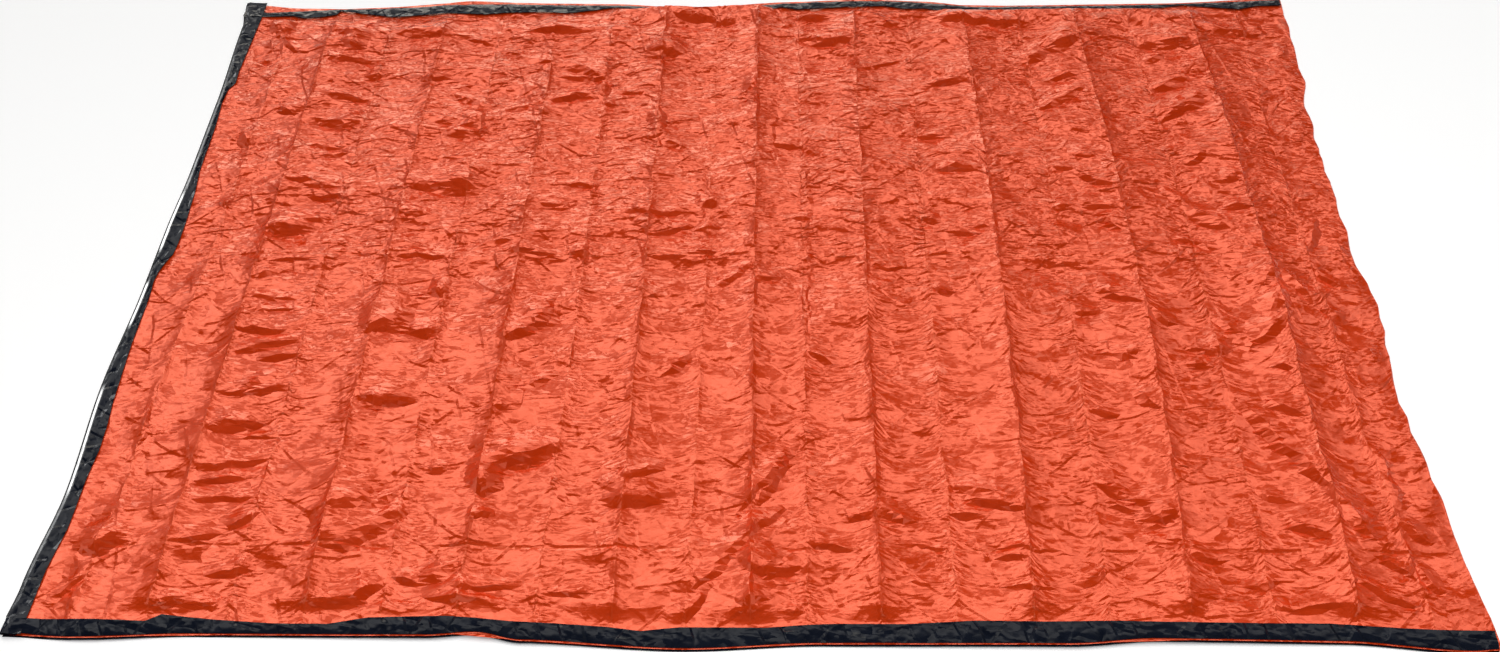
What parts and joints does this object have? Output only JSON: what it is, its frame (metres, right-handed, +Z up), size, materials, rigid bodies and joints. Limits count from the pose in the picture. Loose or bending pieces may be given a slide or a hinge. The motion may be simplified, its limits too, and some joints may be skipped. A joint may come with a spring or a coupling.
{
  "type": "double bivy bag",
  "caption": "Two-person emergency bivy bag of crumpled orange metallised film, lying flat and empty, with black tape along its mouth and side seams.",
  "frame": {"origin": "middle of the bag's box, on the surface it lies on", "axes": "+X from the mouth to the folded foot, +Y from the near side seam to the far one, +Z up"},
  "size_m": [2.1392, 1.5478, 0.0307],
  "materials": {
    "orange_film": "crumpled metallised film, satin gloss",
    "black_tape": "wrinkled glossy tape"
  },
  "bodies": {
    "root": {"film": "orange_film", "tape_near_top": "black_tape", "tape_near_under": "black_tape", "tape_far_top": "black_tape", "tape_far_under": "black_tape", "tape_mouth_top": "black_tape", "tape_mouth_under": "black_tape"}
  },
  "joints": []
}
